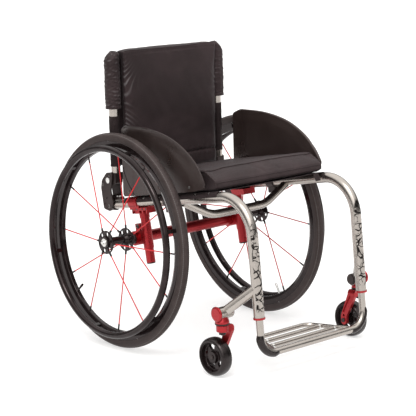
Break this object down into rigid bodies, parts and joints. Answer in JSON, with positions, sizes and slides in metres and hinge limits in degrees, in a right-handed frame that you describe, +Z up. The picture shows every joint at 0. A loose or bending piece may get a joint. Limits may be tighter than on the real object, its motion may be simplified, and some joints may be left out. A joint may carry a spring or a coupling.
{
  "type": "manual wheelchair",
  "caption": "Rigid-frame manual wheelchair with cambered rear wheels, handrims, swivel casters, tubular footrest and a padded backrest that folds forward.",
  "frame": {"origin": "on the floor, centred in width and in length", "axes": "+X to the user's left, -Y the way the user faces, +Z up"},
  "size_m": [0.6108, 0.8155, 0.815],
  "materials": {
    "titanium": "satin, brushed titanium look",
    "red_anodised": "satin red anodised",
    "black_metal": "satin black anodised",
    "silver_metal": "polished",
    "red_spoke": "gloss red",
    "tyre_rubber": "matte",
    "caster_rubber": "satin",
    "black_plastic": "satin moulded",
    "black_fabric": "woven coated nylon"
  },
  "bodies": {
    "frame": {"front_cross_tube": "titanium", "caster_heads": "red_anodised", "caster_barrel_caps": "red_anodised", "frame_end_plugs": "black_plastic", "stem_bearings": "black_metal", "leg_collars": "red_anodised", "rail_saddles": "red_anodised", "height_tubes": "red_anodised", "camber_clamps": "red_anodised", "camber_tube": "red_anodised", "axle_receivers": "black_metal", "quick_release_axles": "silver_metal", "seat_sling": "black_fabric", "seat_cushion": "black_fabric", "guard_clamps": "black_plastic", "back_hinge_pins": "silver_metal", "frame_screws": "silver_metal", "side_frame_left": "titanium", "caster_arm_left": "titanium", "guard_left": "black_plastic", "back_bracket_left": "black_metal", "side_frame_right": "titanium", "caster_arm_right": "titanium", "guard_right": "black_plastic", "back_bracket_right": "black_metal"},
    "backrest": {"back_hinge_feet": "black_metal", "back_posts": "titanium", "back_sling": "black_fabric", "back_pad": "black_fabric", "back_sleeve_left": "black_fabric", "back_sleeve_right": "black_fabric"},
    "footrest": {"footrest_tube": "titanium", "footrest_grid": "titanium", "footrest_bumpers": "caster_rubber"},
    "wheel_left": {"tyre_left": "tyre_rubber", "rim_left": "black_metal", "spokes_left": "red_spoke", "spoke_nipples_left": "black_metal", "hub_left": "black_metal", "hub_bearings_left": "silver_metal", "handrim_left": "black_metal"},
    "button_left": {"release_button_left": "silver_metal"},
    "fork_left": {"caster_fork_left": "red_anodised", "caster_hardware_left": "black_metal"},
    "caster_left": {"caster_wheel_left": "black_plastic", "caster_bearings_left": "silver_metal", "caster_tyre_left": "caster_rubber"},
    "wheel_right": {"tyre_right": "tyre_rubber", "rim_right": "black_metal", "spokes_right": "red_spoke", "spoke_nipples_right": "black_metal", "hub_right": "black_metal", "hub_bearings_right": "silver_metal", "handrim_right": "black_metal"},
    "button_right": {"release_button_right": "silver_metal"},
    "fork_right": {"caster_fork_right": "red_anodised", "caster_hardware_right": "black_metal"},
    "caster_right": {"caster_wheel_right": "black_plastic", "caster_bearings_right": "silver_metal", "caster_tyre_right": "caster_rubber"}
  },
  "joints": [
    {"name": "backrest_fold", "type": "hinge", "parent": "frame", "child": "backrest", "pos_m": [0, 0.197, 0.448], "axis": [1, 0, 0], "range_deg": [0, 70], "deforming": ["seat_cushion", "back_sleeve_left", "back_sleeve_right"]},
    {"name": "footrest_height", "type": "slide", "parent": "frame", "child": "footrest", "axis": [0, 0.0822, 0.9966], "range_m": [-0.03, 0.04]},
    {"name": "wheel_left_spin", "type": "hinge", "parent": "frame", "child": "wheel_left", "pos_m": [0.2482, 0.1118, 0.29582], "axis": [0.999, 0, 0.0436], "continuous": true},
    {"name": "release_button_left_press", "type": "slide", "parent": "frame", "child": "button_left", "axis": [0.999, 0, 0.0436], "range_m": [-0.003, 0], "stiffness_N_per_m": 600},
    {"name": "caster_left_swivel", "type": "hinge", "parent": "frame", "child": "fork_left", "pos_m": [0.251, -0.3165, 0.13], "axis": [0, 0, 1], "continuous": true},
    {"name": "caster_left_roll", "type": "hinge", "parent": "fork_left", "child": "caster_left", "pos_m": [0.251, -0.2869, 0.0509], "axis": [1, 0, 0], "continuous": true},
    {"name": "wheel_right_spin", "type": "hinge", "parent": "frame", "child": "wheel_right", "pos_m": [-0.2482, 0.1118, 0.29582], "axis": [-0.999, 0, 0.0436], "continuous": true},
    {"name": "release_button_right_press", "type": "slide", "parent": "frame", "child": "button_right", "axis": [-0.999, 0, 0.0436], "range_m": [-0.003, 0], "stiffness_N_per_m": 600},
    {"name": "caster_right_swivel", "type": "hinge", "parent": "frame", "child": "fork_right", "pos_m": [-0.251, -0.3165, 0.13], "axis": [0, 0, 1], "continuous": true},
    {"name": "caster_right_roll", "type": "hinge", "parent": "fork_right", "child": "caster_right", "pos_m": [-0.251, -0.2869, 0.0509], "axis": [1, 0, 0], "continuous": true}
  ]
}
